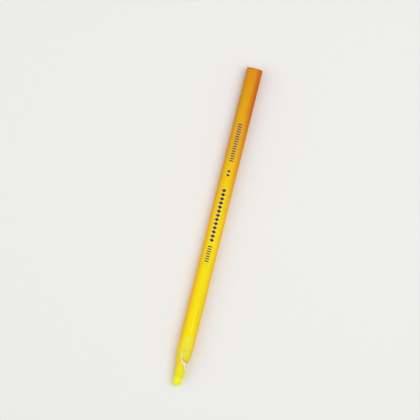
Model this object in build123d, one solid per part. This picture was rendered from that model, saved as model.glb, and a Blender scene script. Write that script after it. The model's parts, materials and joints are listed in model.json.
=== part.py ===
# Peel-off china marker, lying on its side with its writing tip towards +X. A wax core and a pull string
# lie inside a wound paper wrapper that tear lines divide into bands. The string has slit the front band,
# and one side of that band is a torn flap. Millimetres, +Z up, origin under the middle of the marker.
from build123d import *
import os
from math import cos, pi, radians, sin, tan

# Lengths along the marker, counted from its rear end
OVERALL_LENGTH = 177.0
BARE_CORE_LENGTH = 12.7         # from the last tear line to the tip
BAND_COUNT = 21                 # bands between the rear end and the last tear line

# Wax core
CORE_DIAMETER = 6.6
SHOULDER_FROM_TIP = 10.3        # where the slight taper turns into the drawn-out one
SHOULDER_DROP = 0.15            # radius lost from the wrapper's mouth to the shoulder
NOSE_FROM_TIP = 3.2
NOSE_DIAMETER = 4.84
CROWN_HEIGHT = 0.6              # rounded writing end
CROWN_DIAMETER = 2.9

# Pull string and its channel in the paper
STRING_DIAMETER = 0.8
STRING_ANGLE = -12.0            # degrees round the barrel from the top, positive towards +Y
STRING_SEAT_GAP = 0.03          # between the string and the core
CHANNEL_CLEARANCE = 0.06        # between the string and the paper
CHANNEL_FLARE = 35.0            # degrees, lean of the paper from the string's top down to the core
STRING_COVER = 0.21             # paper over the string

# Paper wrapper
CORE_CLEARANCE = 0.05           # radial gap between the core and the paper
MOUTH_WALL = 0.4                # wall left at the last tear line, where the front band is drawn in
PLY_GROUPS = 3                  # steps that the torn edge falls in
PLY_STEP = 0.2                  # how far each group stands out past the one outside it
EDGE_SETBACK = 2.4              # the front band's torn edge behind the last tear line, at mid barrel
EDGE_SLANT = -4.0               # degrees, the edge's lean across the barrel

# Slit and torn flap
SLIT_CLEARANCE = 0.12           # each side of the string
FLAP_HINGE_ANGLE = 62.0         # degrees round the barrel from the top
FLAP_GAP = 0.1                  # round the flap
FLAP_POINT_SETBACK = 0.4        # the flap's point behind the last tear line
FLAP_POINT_OFFSET = 3.0         # the flap's point beside the barrel's axis
FLAP_INNER_SLANT = 38.0         # degrees, torn edge from the slit to the point
FLAP_OUTER_SLANT = -60.0        # degrees, torn edge from the point to the hinge

# Free end of the string: distance past its root, degrees round the core, height over its seat on the core
TAIL_ROUTE = [
    (0.0, -12.0, 0.0),
    (5.3, -12.0, 0.0),
    (7.3, 15.0, 0.25),
    (9.5, 41.0, 0.15),
    (11.5, 57.0, -0.05),
]
ARC_SHARE = 0.45                # of the shorter run beside a corner that its arc may take

# Sizes that follow
core_radius = CORE_DIAMETER / 2
string_radius = STRING_DIAMETER / 2
string_seat = core_radius + STRING_SEAT_GAP + string_radius
channel_radius = string_radius + CHANNEL_CLEARANCE
bore_radius = core_radius + CORE_CLEARANCE
barrel_radius = string_seat + channel_radius + STRING_COVER
slit_half_width = string_radius + SLIT_CLEARANCE
tear_line = OVERALL_LENGTH - BARE_CORE_LENGTH
band_width = tear_line / BAND_COUNT
front_band_start = tear_line - band_width
string_root = front_band_start + slit_half_width
rear_x = -OVERALL_LENGTH / 2
axis_height = barrel_radius
barrel_axis = Axis((0, 0, axis_height), (1, 0, 0))


def around(radius, angle):
    """Point (y, z from the axis) at a radius and an angle from the top towards +Y."""
    return radius * sin(radians(angle)), radius * cos(radians(angle))


def cross_section(distance):
    """Plane across the barrel at a distance from the rear end, with its x along +Y and its y along +Z."""
    return Plane(origin=(rear_x + distance, 0, axis_height), x_dir=(0, 1, 0), z_dir=(1, 0, 0))


def turned(profile):
    """Solid of revolution about the barrel's axis, from a face drawn as distance and radius."""
    plane = Plane(origin=(rear_x, 0, axis_height), x_dir=(1, 0, 0), z_dir=(0, -1, 0))
    return revolve(plane * profile, axis=barrel_axis)


def torn_off(solid, distance, offset, slant):
    """The part of a solid behind an upright cut through a point of the plan, leaning by slant degrees."""
    lean = radians(slant)
    cut = Plane(origin=(rear_x + distance, offset, 0), x_dir=(0, 0, 1), z_dir=(cos(lean), -sin(lean), 0))
    return split(solid, bisect_by=cut, keep=Keep.BOTTOM)


def wax_core():
    """Extruded wax stick with a drawn-out, blunt writing end."""
    shoulder = (OVERALL_LENGTH - SHOULDER_FROM_TIP, core_radius - SHOULDER_DROP)
    nose = (OVERALL_LENGTH - NOSE_FROM_TIP, NOSE_DIAMETER / 2)
    crown = (OVERALL_LENGTH - CROWN_HEIGHT, CROWN_DIAMETER / 2)
    tip = (OVERALL_LENGTH, 0)
    mouth = (tear_line - EDGE_SETBACK, core_radius)
    sides = Polyline(tip, (0, 0), (0, core_radius), mouth, shoulder, nose, crown)
    end = TangentArc(tip, crown, tangent=(0, 1))
    return turned(make_face(sides + end))


def string_section():
    """The string's round section at its seat on the core."""
    return Pos(*around(string_seat, STRING_ANGLE)) * Circle(string_radius)


def pull_string():
    """The string under the wrapper, from the rear end to the root of its free end."""
    return extrude(cross_section(0) * string_section(), string_root - string_radius - STRING_SEAT_GAP)


def string_channel():
    """Tent-shaped gap that paper wound over the string leaves beside it, open to the core."""
    top = string_seat + channel_radius
    base = string_seat - 2 * channel_radius
    top_half = channel_radius * tan(radians(45 - CHANNEL_FLARE / 2))
    base_half = top_half + (top - base) * tan(radians(CHANNEL_FLARE))
    tent = Polygon((-base_half, base), (base_half, base), (top_half, top), (-top_half, top))
    return Rot(0, 0, -STRING_ANGLE) * tent


def peel_band(start):
    """Ring of wound paper between two tear lines, with the string's channel in its bore."""
    ring = Circle(barrel_radius) - Circle(bore_radius) - string_channel()
    return extrude(cross_section(start) * ring, band_width)


def ply_shell(group):
    """One group of the front band's plies, all round and drawn in towards the mouth."""
    def corner(distance, wall, count):
        return distance, bore_radius + wall * count / PLY_GROUPS

    full_wall = barrel_radius - bore_radius
    outline = Polyline(
        corner(front_band_start, full_wall, group),
        corner(front_band_start, full_wall, group + 1),
        corner(tear_line, MOUTH_WALL, group + 1),
        corner(tear_line, MOUTH_WALL, group),
        close=True,
    )
    return turned(make_face(outline))


def opening(left, right_angle, inset, start):
    """Wedge across the top of the front band, from an upright side to a radial one that is set in."""
    reach = 2 * barrel_radius
    slide = (-inset * cos(radians(right_angle)), inset * sin(radians(right_angle)))
    far = around(reach, right_angle)
    wedge = Polygon(
        (left, slide[1]),
        slide,
        (far[0] + slide[0], far[1] + slide[1]),
        (far[0] + slide[0], reach),
        (left, reach),
    )
    return extrude(cross_section(start) * wedge, tear_line - start)


def slit_band():
    """Front band: open from the slit's far side to the flap's crease, with a stepped torn edge."""
    plies = []
    for group in range(PLY_GROUPS):
        edge = tear_line - EDGE_SETBACK + PLY_STEP * (PLY_GROUPS - 1 - group)
        plies.append(torn_off(ply_shell(group), edge, 0, EDGE_SLANT))
    slit_left = around(string_seat, STRING_ANGLE)[0] - slit_half_width
    return plies[0].fuse(*plies[1:]) - opening(slit_left, FLAP_HINGE_ANGLE, 0, front_band_start)


def peel_flap():
    """Torn corner of the front band between the slit and the crease, coming to a point."""
    plies = []
    for group in range(PLY_GROUPS):
        point = tear_line - FLAP_POINT_SETBACK + PLY_STEP * (PLY_GROUPS - 1 - group)
        ply = torn_off(ply_shell(group), point, FLAP_POINT_OFFSET, FLAP_INNER_SLANT)
        plies.append(torn_off(ply, point, FLAP_POINT_OFFSET, FLAP_OUTER_SLANT))
    slit_right = around(string_seat, STRING_ANGLE)[0] + slit_half_width
    place = opening(slit_right, FLAP_HINGE_ANGLE, FLAP_GAP, front_band_start + FLAP_GAP)
    return plies[0].fuse(*plies[1:]) & place


def string_tail():
    """Free end of the string, out along the slit and over the core's side, with a round root to turn on."""
    points = []
    for past_root, angle, lift in TAIL_ROUTE:
        y, z = around(string_seat + lift, angle)
        points.append(Vector(rear_x + string_root + past_root, y, axis_height + z))
    runs = [after - before for before, after in zip(points, points[1:])]
    radii = []
    for before, after in zip(runs, runs[1:]):
        turn = radians(before.get_angle(after))
        radii.append(ARC_SHARE * min(before.length, after.length) / tan(turn / 2))
    path = FilletPolyline(*points, radius=radii)
    tube = sweep(Plane(origin=points[0], z_dir=runs[0]) * Circle(string_radius), path=path)
    section_times_length = pi * string_radius**2 * path.length
    print("tail length", round(path.length, 2), "radii", [round(radius, 2) for radius in radii])
    print("tail volume over section times length", round(tube.volume / section_times_length, 4))
    return tube + Pos(points[0]) * Sphere(string_radius)


pieces = {
    "wax_core": wax_core(),
    "pull_string": pull_string(),
    "string_tail": string_tail(),
    "slit_band": slit_band(),
    "peel_flap": peel_flap(),
}
for index in range(BAND_COUNT - 1):
    pieces[f"peel_band_{index + 1:02d}"] = peel_band(index * band_width)

os.makedirs("parts", exist_ok=True)
for name, piece in pieces.items():
    export_step(piece, f"parts/{name}.step")
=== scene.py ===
# A peel-off china marker dressed around its packed frame: wound paper bands, a front band slit by the string,
# its torn flap, the cotton string, the wax stick and a plain printed row. Metres, +Z up, writing tip at +X.
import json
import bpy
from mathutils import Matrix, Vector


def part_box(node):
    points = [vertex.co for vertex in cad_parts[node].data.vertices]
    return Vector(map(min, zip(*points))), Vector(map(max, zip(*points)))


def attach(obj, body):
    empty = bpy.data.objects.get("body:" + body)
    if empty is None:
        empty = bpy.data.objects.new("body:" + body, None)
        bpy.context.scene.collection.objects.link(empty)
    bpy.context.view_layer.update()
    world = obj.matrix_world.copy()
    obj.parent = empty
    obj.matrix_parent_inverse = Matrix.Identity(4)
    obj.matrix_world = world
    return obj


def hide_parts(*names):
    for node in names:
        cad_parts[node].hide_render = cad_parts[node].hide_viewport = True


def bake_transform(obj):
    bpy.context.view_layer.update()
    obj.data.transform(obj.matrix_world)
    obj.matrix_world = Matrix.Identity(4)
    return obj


bl_info = {
    "name": "China marker",
    "version": (1, 0, 0),
    "blender": (4, 5, 0),
    "location": "View3D > Sidebar > China marker",
    "description": "Builds the paper, wax, string and print of a peel-off china marker",
    "category": "Object",
}

from math import asin, atan2, ceil, cos, hypot, pi, radians, sin, tan
from random import Random

import bmesh
import bpy
from bpy.props import FloatProperty, FloatVectorProperty, IntProperty, PointerProperty
from mathutils import Color, Vector, noise

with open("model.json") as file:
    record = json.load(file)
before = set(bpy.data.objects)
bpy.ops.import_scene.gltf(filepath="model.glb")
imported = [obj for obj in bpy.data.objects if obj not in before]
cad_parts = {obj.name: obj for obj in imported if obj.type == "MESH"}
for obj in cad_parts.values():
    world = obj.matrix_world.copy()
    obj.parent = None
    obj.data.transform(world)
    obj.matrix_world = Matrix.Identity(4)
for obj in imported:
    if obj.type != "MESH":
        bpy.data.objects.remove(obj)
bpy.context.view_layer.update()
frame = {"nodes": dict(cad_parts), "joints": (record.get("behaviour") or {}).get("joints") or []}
MM = 0.001

# Places and sizes that come from the frame, with distances along the marker counted from its rear end
JOINTS = {joint["name"]: joint for joint in frame["joints"]}
BAND_NODES = sorted(node for node in frame["nodes"] if node.startswith("peel_band"))
CORE_LOW, CORE_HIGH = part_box("wax_core")
BAND_LOW, BAND_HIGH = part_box(BAND_NODES[0])
STRING_ROOT = Vector(JOINTS["string_swing"]["pos_m"])
CREASE = Vector(JOINTS["flap_lift"]["pos_m"])
REAR = CORE_LOW.x
LENGTH = CORE_HIGH.x - CORE_LOW.x
CORE_RADIUS = (CORE_HIGH.y - CORE_LOW.y) / 2
BARREL_RADIUS = (BAND_HIGH.y - BAND_LOW.y) / 2
AXIS_HEIGHT = (BAND_HIGH.z + BAND_LOW.z) / 2
BAND_WIDTH = BAND_HIGH.x - BAND_LOW.x
FRONT_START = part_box("slit_band")[0].x - REAR
TEAR_LINE = FRONT_START + BAND_WIDTH
STRING_START = STRING_ROOT.x - REAR
STRING_ANGLE = atan2(STRING_ROOT.y, STRING_ROOT.z - AXIS_HEIGHT)
STRING_SEAT = hypot(STRING_ROOT.y, STRING_ROOT.z - AXIS_HEIGHT)
CREASE_ANGLE = atan2(CREASE.y, CREASE.z - AXIS_HEIGHT)


def linear(code):
    """Linear colour of an sRGB hex value."""
    shares = [int(code[place:place + 2], 16) / 255 for place in (1, 3, 5)]
    return [share / 12.92 if share <= 0.04045 else ((share + 0.055) / 1.055) ** 2.4 for share in shares]


def colour(name, description, code):
    """Colour property with an sRGB hex default."""
    return FloatVectorProperty(
        name=name, description=description, default=linear(code), subtype="COLOR", min=0, max=1)


def length(name, description, millimetres):
    """Length property with its default in millimetres."""
    return FloatProperty(
        name=name, description=description, default=millimetres * MM, unit="LENGTH", precision=5)


def angle(name, description, degrees):
    """Angle property with its default in degrees."""
    return FloatProperty(name=name, description=description, default=radians(degrees), subtype="ANGLE")


def plain(name, description, default):
    """Property that is a number without a unit."""
    return FloatProperty(name=name, description=description, default=default)


class PaperSizes(bpy.types.PropertyGroup):
    """Sizes of the wound paper wrapper."""

    plies: IntProperty(name="Plies", description="Turns of paper in the wall", default=10, min=3)
    segments: IntProperty(name="Segments", description="Steps of one turn", default=72, min=12)
    ply_air: length("Ply air", "Air between two turns", 0.008)
    core_air: length("Core air", "Air between the wax and the innermost turn", 0.05)
    lap_angle: angle("Lap", "Where the last turn ends, from the top towards +Y", 152)
    tent_rise: length("Tent rise", "How far the string lifts the innermost turn", 0.84)
    tent_reach: angle("Tent reach", "How far round the string the turns are lifted", 19)
    score: length("Score", "Chamfer of a turn at a tear line", 0.035)
    trim: plain("Trim", "Unevenness of the cut turns, as a share of the width", 0.012)
    last_trim: plain("Last trim", "Share of that unevenness on the last turn, which is cut truer", 0.45)
    mouth_wall: length("Mouth wall", "Wall at the last tear line, where the paper is drawn in", 0.4)

    def bore(self):
        """Radius inside the innermost turn."""
        return CORE_RADIUS + self.core_air

    def pitch(self):
        """Radius that one turn and its air take up."""
        return (BARREL_RADIUS - self.bore()) / self.plies


class TearSizes(bpy.types.PropertyGroup):
    """Sizes of the slit, the torn edge and the flap."""

    slit_left: length("Slit, left", "From the string's line to the side of the slit on the band", 0.47)
    slit_right: length("Slit, right", "From the string's line to the side of the slit on the flap", 0.53)
    slit_start: plain("Slit start", "Width of the slit at its start, as a share", 0.5)
    setback: length("Setback", "Torn edge behind the last tear line", 2.4)
    slant: angle("Slant", "Lean of the torn edge across the barrel", -4)
    band_step: length("Band step", "How far each ply of the band stands out past the one outside it", 0.2)
    flap_step: length("Flap step", "How far each ply of the flap stands out past the one outside it", 0.045)
    ragged: length("Ragged", "Unevenness of the torn edges", 0.16)
    point_setback: length("Point", "The flap's point behind the last tear line", 0.4)
    point_offset: length("Point offset", "The flap's point beside the barrel's axis", 3.0)
    inner_slant: angle("Inner slant", "Lean of the tear from the slit to the point", 33)
    outer_slant: angle("Outer slant", "Lean of the tear from the point to the crease", -60)
    curl: length("Curl", "How far the flap's point stands up", 0.3)
    pulled: length("Pulled", "How far the string has pulled up the sides of the slit", 0.1)
    split: length("Split", "Gap behind the flap and under its crease", 0.03)
    fold_half: angle("Fold", "Half the strip of outer ply that bends at the crease", 8)
    fibres: plain("Fibres", "Loose fibres on a square metre of torn edge", 2.2e6)
    fibre_length: length("Fibre length", "Length of a loose fibre", 0.4)
    fibre_radius: length("Fibre radius", "Radius of a loose fibre", 0.03)


class StringSizes(bpy.types.PropertyGroup):
    """Sizes of the cotton string."""

    diameter: length("Diameter", "Over all its strands", 0.84)
    lay: length("Lay", "Length of one turn of a strand", 2.6)
    fork: length("Fork", "Where the unlaid strand leaves, from the start of the free end", 5.3)
    loosened: plain("Loosened", "How much thicker the string is in the slit", 1.2)
    fluff: plain("Fluff", "How much thicker a strand is past the fork", 1.3)
    unlaid_fluff: plain("Unlaid fluff", "How much thicker the unlaid strand is past the fork", 1.9)
    yarns: IntProperty(name="Yarns", description="Yarns that spread out of a strand's end", default=5, min=0)
    frayed: length("Frayed", "Length of the spread yarns", 0.7)
    yarn_radius: length("Yarn radius", "Radius of a spread yarn", 0.07)
    fuzz: plain("Fuzz", "Loose fibres on a square metre of frayed string", 1.4e7)
    fuzz_length: length("Fuzz length", "Length of a loose fibre", 0.5)
    fuzz_radius: length("Fuzz radius", "Radius of a loose fibre", 0.018)


class WaxSizes(bpy.types.PropertyGroup):
    """Sizes of the wax stick's writing end, from the tip."""

    mouth: length("Mouth", "Where the stick starts to taper", 15.1)
    shoulder: length("Shoulder", "Where the taper grows", 10.3)
    shoulder_drop: length("Shoulder drop", "Radius lost at the shoulder", 0.15)
    nose: length("Nose", "Where the stick turns in to the end", 3.2)
    nose_radius: length("Nose radius", "Radius at the nose", 2.42)
    crown: length("Crown", "Height of the rounded end", 0.5)
    crown_radius: length("Crown radius", "Radius of the rounded end", 1.72)
    flat_end: length("Flat at the end", "From the axis to the flat that writing has worn, at the tip", 1.42)
    flat_slope: angle("Flat slope", "Lean of the worn flat to the axis", 15)
    flat_turn: angle("Flat turn", "Middle of the worn flat, from the top towards +Y", 72)
    ridges: length("Ridges", "Height of the ridges that drawing has left along the stick", 0.03)
    cut_marks: length("Cut marks", "Depth of the marks that the knife has left on the rear face", 0.06)


class PrintSizes(bpy.types.PropertyGroup):
    """Sizes of the printed row."""

    ink: length("Ink", "Height of the ink over the paper", 0.012)
    sunk: length("Sunk", "Whole thickness of a mark, most of it in the paper", 0.06)
    turn: angle("Turn", "Middle of the row, from the top towards +Y", -4.5)


class Finishes(bpy.types.PropertyGroup):
    """Colours of the marker and the floor."""

    # Painted light falloff: the lacquer is drawn darker and more orange towards the rear end, along the top
    # and below
    lacquer_rear: colour("Lacquer, rear", "Lacquer along the top at the rear end", "#E29C04")
    lacquer_middle: colour("Lacquer, middle", "Lacquer along the top half way", "#F8DE04")
    lacquer_front: colour("Lacquer, front", "Lacquer along the top at the front", "#F9E604")
    # Painted shade: the sides and the underside of the lacquer are drawn in these deeper tones
    side_shade_rear: colour("Underside, rear", "Lacquer on the sides and below at the rear end", "#D46604")
    side_shade_middle: colour("Underside, middle", "Lacquer on the sides and below half way", "#FEBC04")
    side_shade_front: colour("Underside, front", "Lacquer on the sides and below at the front", "#FFC404")
    # Painted shade: the rounded rear rim is drawn in this dark brown
    rim_shade: colour("Pooled lacquer", "Lacquer gathered at the rear rim", "#8A5A0C")
    thinned: colour("Thinned", "Lacquer worn thin on the sides of the front", "#F6DC0A")
    # Painted highlight: a pale sheen drawn on top of the front paper, where its lacquer is also rubbed
    # through and matte
    rubbed: colour("Rubbed", "Front paper with its lacquer rubbed through", "#EEE63C")
    # Painted shade along the torn edges and painted shadow beside the slit are drawn in this colour, which
    # also marks the cracks
    darker_tone: colour("Bruised", "Lacquer that has cracked and darkened beside a tear", "#EDB410")
    ply: colour("Ply", "Raw paper inside the wrapper", "#F1EEDC")
    soaked: colour("Soaked ply", "Paper that wax and lacquer have soaked into", "#F7DA14")
    wax_mouth: colour("Wax at the paper", "Wax close to the wrapper's torn edge", "#F3DF10")
    wax: colour("Wax", "Wax stick", "#EFE81A")
    # Painted light: the wax is drawn brighter towards the tip
    lit_tip_wax: colour("Worn wax", "Wax at the worn tip", "#FAFC04")
    cotton: colour("Cotton", "String", "#FAF9EE")
    waxed_cotton: colour("Waxed cotton", "String with wax rubbed in", "#FAFC86")
    ink: colour("Ink", "Printed row", "#1C1A66")
    thin_ink: colour("Thin ink", "Printed row where the ink is thin", "#5C3A48")
    floor: colour("Floor", "Floor", "#ECECEA")


def spot(distance, radius, turn):
    """Point at a distance from the rear end, a radius from the barrel's axis and a turn from the top."""
    return Vector((REAR + distance, radius * sin(turn), AXIS_HEIGHT + radius * cos(turn)))


def mix(first, last, share):
    """Value between two others."""
    return first + (last - first) * share


def ease(low, high, value):
    """Smooth step from 0 at low to 1 at high."""
    share = min(max((value - low) / (high - low), 0), 1)
    return share * share * (3 - 2 * share)


GRAIN_FADE = 0.7                # how fast the grain's finer waves fade
GRAIN_STEP = 2.1                # how much finer each is than the one before
GRAIN_WAVES = 4


def grain(*place):
    """Smooth noise from -1 to 1 at a place, the same in each run."""
    return noise.fractal(Vector(place), GRAIN_FADE, GRAIN_STEP, GRAIN_WAVES)


def feed(tree, node, inputs):
    """Set a node's inputs, listed in its own order or by name, to values or to links from sockets."""
    in_use = [socket for socket in node.inputs if socket.enabled]
    if isinstance(inputs, dict):
        names = [socket.name for socket in in_use]
        in_use = [in_use[names.index(name)] for name in inputs]
        inputs = inputs.values()
    for socket, value in zip(in_use, inputs):
        if isinstance(value, bpy.types.NodeSocket):
            tree.links.new(value, socket)
        else:
            socket.default_value = (*value, 1) if isinstance(value, Color) else value


def add(tree, kind, inputs=(), output=None, **settings):
    """Add a node with its settings and inputs, and give its named output or else its first in use."""
    node = tree.nodes.new(kind)
    for name, value in settings.items():
        setattr(node, name, value)
    feed(tree, node, inputs)
    outputs = [socket for socket in node.outputs if socket.enabled and output in (None, socket.name)]
    return outputs[0] if outputs else None


def per_mm(size):
    """Scale that repeats a texture on Object coordinates once in so many millimetres."""
    return 1 / (size * MM)


def finish(make):
    """The material that a function describes by its shader's inputs, made once and named for the function."""
    made = bpy.data.materials.get(make.__name__)
    if made is None:
        made = bpy.data.materials.new(make.__name__)
        made.use_nodes = True
        tree = made.node_tree
        place = add(tree, "ShaderNodeTexCoord", output="Object")
        feed(tree, tree.nodes["Principled BSDF"], make(tree, place, bpy.context.scene.marker_finishes))
    return made


def lacquer_colour(tree, place, finishes):
    """Brushed lacquer, painted darker towards the rear as light falling off, and with painted shade on the
    sides and below: its colour, the place's axes and its streaks.
    """
    axes = add(tree, "ShaderNodeSeparateXYZ", [place]).node.outputs
    along = add(tree, "ShaderNodeMapRange", {
        "Value": axes["X"], "From Min": REAR, "From Max": REAR + FRONT_START})
    # Both tones are painted darker towards the rear, as light falling off along the marker
    tones = []
    for held, rear, middle, front in (
            (0.0, finishes.lacquer_rear, finishes.lacquer_middle, finishes.lacquer_front),
            (0.13, finishes.side_shade_rear, finishes.side_shade_middle, finishes.side_shade_front)):
        tones.append(add(tree, "ShaderNodeValToRGB", [along]))
        stops = tones[-1].node.color_ramp.elements
        stops.new(0.55)
        stops[0].position = held
        for stop, tone in zip(stops, (rear, middle, front)):
            stop.color = (*tone, 1)
    brushed = add(tree, "ShaderNodeMapping", {
        "Vector": place, "Scale": (per_mm(14), per_mm(0.7), per_mm(0.7))})
    streak = add(tree, "ShaderNodeTexNoise", {"Vector": brushed, "Scale": 1.0, "Detail": 3.0})
    # Painted shade: the sides and the underside are deeper, in streaks, and towards the rear the shade
    # reaches further up the +Y side
    rear_shade_tilt = add(tree, "ShaderNodeMapRange", {"Value": along, "From Max": 0.6, "To Min": -0.5, "To Max": 0.13})
    aside = add(tree, "ShaderNodeMath", [axes["Y"], 2.6 * MM])
    tilted = add(tree, "ShaderNodeMath", [aside, rear_shade_tilt, axes["Z"]], operation="MULTIPLY_ADD")
    level = add(tree, "ShaderNodeMath", [streak, 1.2 * MM, tilted], operation="MULTIPLY_ADD")
    deepest = add(tree, "ShaderNodeMapRange", {
        "Value": along, "From Max": 0.6, "To Min": AXIS_HEIGHT + 0.14 * BARREL_RADIUS,
        "To Max": AXIS_HEIGHT + 0.76 * BARREL_RADIUS})
    low = add(tree, "ShaderNodeMapRange", {
        "Value": level, "From Min": AXIS_HEIGHT + 1.12 * BARREL_RADIUS, "From Max": deepest})
    shaded = add(tree, "ShaderNodeMix", [low, *tones], data_type="RGBA")
    thin = add(tree, "ShaderNodeMapRange", {
        "Value": streak, "From Min": 0.3, "From Max": 0.7, "To Min": 1.04, "To Max": 0.9})
    coat = add(tree, "ShaderNodeHueSaturation", {"Color": shaded, "Value": thin})
    return coat, axes, streak


def amber_lacquer(tree, place, finishes):
    """Paper brushed with yellow lacquer: a soft gloss in lengthwise streaks, and painted shade in brown at
    the rear rim.
    """
    coat, axes, streak = lacquer_colour(tree, place, finishes)
    # The painted shade at the rim reaches about half a millimetre, more in some places than in others
    patch = add(tree, "ShaderNodeTexNoise", {"Vector": place, "Scale": per_mm(1.5), "Detail": 3.0})
    reach = add(tree, "ShaderNodeMath", [patch, -0.5 * MM, axes["X"]], operation="MULTIPLY_ADD")
    rim_shade = add(tree, "ShaderNodeMapRange", {
        "Value": reach, "From Min": REAR + 0.35 * MM, "From Max": REAR - 0.15 * MM, "To Max": 0.8})
    tint = add(tree, "ShaderNodeMix", [rim_shade, coat, finishes.rim_shade], data_type="RGBA")
    gloss = add(tree, "ShaderNodeMapRange", {"Value": streak, "To Min": 0.3, "To Max": 0.55})
    peel = add(tree, "ShaderNodeTexNoise", {"Vector": place, "Scale": per_mm(0.45), "Detail": 2.0})
    relief = add(tree, "ShaderNodeMath", [streak, peel])
    bump = add(tree, "ShaderNodeBump", {"Height": relief, "Strength": 0.3, "Distance": 0.025 * MM})
    return {"Base Color": tint, "Roughness": gloss, "Normal": bump, "Specular IOR Level": 0.07,
            "Coat Weight": 0.05, "Coat Roughness": 0.15}


def rubbed_lacquer_and_sheen(tree, place, finishes):
    """Front lacquer that fingers have rubbed through on top: matte paper painted pale as a broad sheen,
    between glossier sides.
    """
    coat, axes, streak = lacquer_colour(tree, place, finishes)
    # Painted highlight: a broad pale sheen along the top, on paper whose rubbed lacquer is really matte
    patch = add(tree, "ShaderNodeTexNoise", {"Vector": place, "Scale": per_mm(2.2), "Detail": 5.0})
    centred = add(tree, "ShaderNodeMath", [axes["Y"], 0.4 * MM], operation="SUBTRACT")
    aside = add(tree, "ShaderNodeMath", [centred], operation="ABSOLUTE")
    wander = add(tree, "ShaderNodeMath", [patch, 1.6 * MM, aside], operation="MULTIPLY_ADD")
    across = add(tree, "ShaderNodeMapRange", {
        "Value": wander, "From Min": 3.6 * MM, "From Max": 2.3 * MM}, interpolation_type="SMOOTHSTEP")
    upper = add(tree, "ShaderNodeMapRange", {
        "Value": axes["Z"], "From Min": AXIS_HEIGHT, "From Max": AXIS_HEIGHT + 2 * MM})
    rubbed = add(tree, "ShaderNodeMath", [across, upper], operation="MULTIPLY")
    along = add(tree, "ShaderNodeMapRange", {
        "Value": axes["X"], "From Min": REAR + FRONT_START - BAND_WIDTH, "From Max": REAR + FRONT_START,
        "To Min": 0.55})
    share = add(tree, "ShaderNodeMath", [rubbed, along], operation="MULTIPLY")
    # Towards the slit the coat on the sides is thin, and cracked in streaks
    thinned = add(tree, "ShaderNodeMapRange", {
        "Value": axes["X"], "From Min": REAR + FRONT_START - 0.7 * BAND_WIDTH, "From Max": REAR + FRONT_START,
        "To Max": 0.75})
    sides = add(tree, "ShaderNodeMix", [thinned, coat, finishes.thinned], data_type="RGBA")
    # The top takes the pale colour of the painted sheen where its lacquer is rubbed through
    worn = add(tree, "ShaderNodeMix", [share, sides, finishes.rubbed], data_type="RGBA")
    cracks = add(tree, "ShaderNodeMapRange", {
        "Value": streak, "From Min": 0.5, "From Max": 0.7, "To Max": 0.8})
    cracked = add(tree, "ShaderNodeMath", [cracks, thinned], operation="MULTIPLY")
    # Painted shade along the torn edges and painted shadow beside the slit, from the points' darkening,
    # joined with the cracks
    torn = add(tree, "ShaderNodeAttribute", output="Fac", attribute_name="darkening")
    darkening = add(tree, "ShaderNodeMath", [torn, cracked], operation="MAXIMUM")
    tint = add(tree, "ShaderNodeMix", [darkening, worn, finishes.darker_tone], data_type="RGBA")
    # The paper's fibres are drawn coarser than they are, so that they show
    fibre = add(tree, "ShaderNodeTexNoise", {"Vector": place, "Scale": per_mm(0.3), "Detail": 6.0})
    bump = add(tree, "ShaderNodeBump", {"Height": fibre, "Strength": 0.45, "Distance": 0.03 * MM})
    dull = add(tree, "ShaderNodeMapRange", {"Value": share, "To Min": 0.42, "To Max": 0.75})
    return {"Base Color": tint, "Roughness": dull, "Normal": bump, "Specular IOR Level": 0.2}


def raw_paper(tree, place, finishes):
    """Undyed wood-free paper: matte white with flecks of fibre, yellow where wax has soaked in."""
    stain = add(tree, "ShaderNodeAttribute", output="Fac", attribute_name="stain")
    # Single fibres are too fine to show, so flecks of them are drawn a quarter of a millimetre wide
    fibre = add(tree, "ShaderNodeTexNoise", {"Vector": place, "Scale": per_mm(0.25), "Detail": 6.0})
    soaked = add(tree, "ShaderNodeMix", [stain, finishes.ply, finishes.soaked], data_type="RGBA")
    fleck = add(tree, "ShaderNodeMapRange", {"Value": fibre, "To Min": 1.12, "To Max": 0.92})
    shade = add(tree, "ShaderNodeHueSaturation", {"Color": soaked, "Value": fleck})
    bump = add(tree, "ShaderNodeBump", {"Height": fibre, "Strength": 0.5, "Distance": 0.03 * MM})
    return {"Base Color": shade, "Roughness": 0.85, "Normal": bump, "Specular IOR Level": 0.2}


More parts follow.
